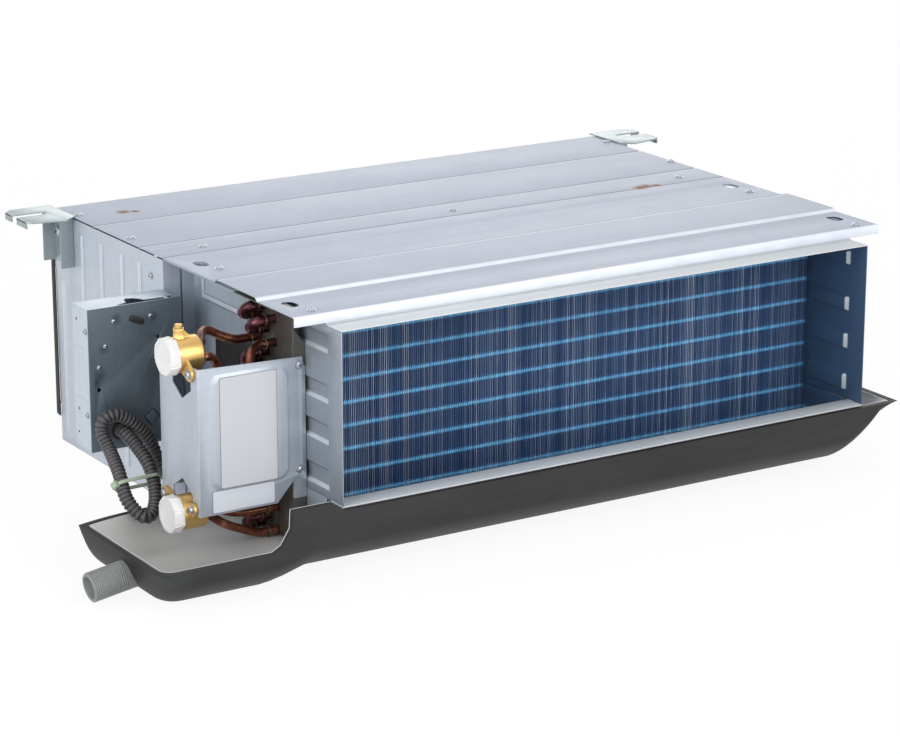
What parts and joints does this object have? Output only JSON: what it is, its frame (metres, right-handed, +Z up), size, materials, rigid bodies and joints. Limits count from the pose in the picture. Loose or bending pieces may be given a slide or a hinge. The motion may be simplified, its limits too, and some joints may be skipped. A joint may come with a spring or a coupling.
{
  "type": "fan_coil_unit",
  "caption": "Concealed ducted fan coil unit: flat galvanised casing with outlet collar, blue-black fin coil, brass headers over a long foam-lined drain pan, rear plenum with blowers and filter.",
  "frame": {"origin": "Centre of the plenum floor's underside.", "axes": "+X runs along the unit to the right, seen from the air outlet; -Y is the outlet side; +Z is up."},
  "size_m": [0.886, 0.5291, 0.244],
  "materials": {
    "galvanised_steel": "galvanised sheet, matt",
    "bright_steel": "bright zinc sheet, satin",
    "coated_steel": "dark coated sheet, satin",
    "end_plate_steel": "stained galvanised sheet, matt",
    "aluminium_fin": "blue-black hydrophilic coating",
    "copper": "dark copper tube",
    "brass": "machined brass",
    "white_plastic": "white plastic",
    "grey_plastic": "grey plastic tube",
    "black_foam": "closed-cell foam skin",
    "pan_paint": "grey painted inside",
    "black_plastic": "black plastic",
    "motor_steel": "grey motor shell",
    "filter_net": "woven nylon net"
  },
  "bodies": {
    "casing": {"casing_side_left": "galvanised_steel", "casing_side_right": "galvanised_steel", "casing_floor": "galvanised_steel", "outlet_collar_left": "galvanised_steel", "outlet_collar_right": "galvanised_steel", "plenum_side_left": "galvanised_steel", "plenum_side_right": "galvanised_steel", "plenum_floor": "galvanised_steel", "fan_deck": "galvanised_steel", "blower_housing_left": "galvanised_steel", "blower_housing_right": "galvanised_steel", "motor_cradle": "galvanised_steel", "motor_strap_left": "galvanised_steel", "motor_strap_right": "galvanised_steel", "filter_rail_top": "galvanised_steel", "filter_rail_bottom": "galvanised_steel", "hanger_bracket_left": "galvanised_steel", "hanger_bracket_right": "galvanised_steel", "header_bracket": "galvanised_steel", "control_box": "galvanised_steel", "control_box_bracket": "galvanised_steel", "top_cover_front": "bright_steel", "top_cover_rear": "bright_steel", "outlet_collar_top": "bright_steel", "outlet_collar_bottom": "bright_steel", "motor_bearing_left": "bright_steel", "motor_bearing_right": "bright_steel", "hanger_bolt_left_upper": "bright_steel", "hanger_bolt_left_lower": "bright_steel", "hanger_bolt_right_upper": "bright_steel", "hanger_bolt_right_lower": "bright_steel", "control_box_cover": "coated_steel", "tube_sheet_left": "end_plate_steel", "tube_sheet_right": "end_plate_steel", "fin_pack": "aluminium_fin", "coil_circuit_upper": "copper", "coil_circuit_lower": "copper", "feeder_upper_rear": "copper", "feeder_upper_front": "copper", "feeder_lower_outer": "copper", "feeder_lower_inner": "copper", "header_upper": "brass", "header_lower": "brass", "header_cap_upper": "white_plastic", "header_cap_lower": "white_plastic", "terminal_block": "white_plastic", "drain_nozzle": "grey_plastic", "pan_insulation": "black_foam", "drain_pan": "pan_paint", "motor_conduit": "black_plastic", "conduit_gland": "black_plastic", "conduit_grommet": "black_plastic", "motor_capacitor": "black_plastic", "fan_motor": "motor_steel"},
    "fan_rotor": {"fan_shaft": "bright_steel", "impeller_left": "galvanised_steel", "impeller_right": "galvanised_steel"},
    "filter": {"air_filter_frame": "black_plastic", "air_filter_net": "filter_net"},
    "vent_screw": {"air_vent_screw": "brass"}
  },
  "joints": [
    {"name": "fan_spin", "type": "hinge", "parent": "casing", "child": "fan_rotor", "pos_m": [0, -0.033, 0.102], "axis": [1, 0, 0], "continuous": true},
    {"name": "filter_slide", "type": "slide", "parent": "casing", "child": "filter", "axis": [1, 0, 0], "range_m": [0, 0.62]},
    {"name": "vent_screw_turn", "type": "hinge", "parent": "casing", "child": "vent_screw", "pos_m": [-0.4013, -0.3, 0.227], "axis": [0, 0, 1], "range_deg": [0, 360]}
  ]
}
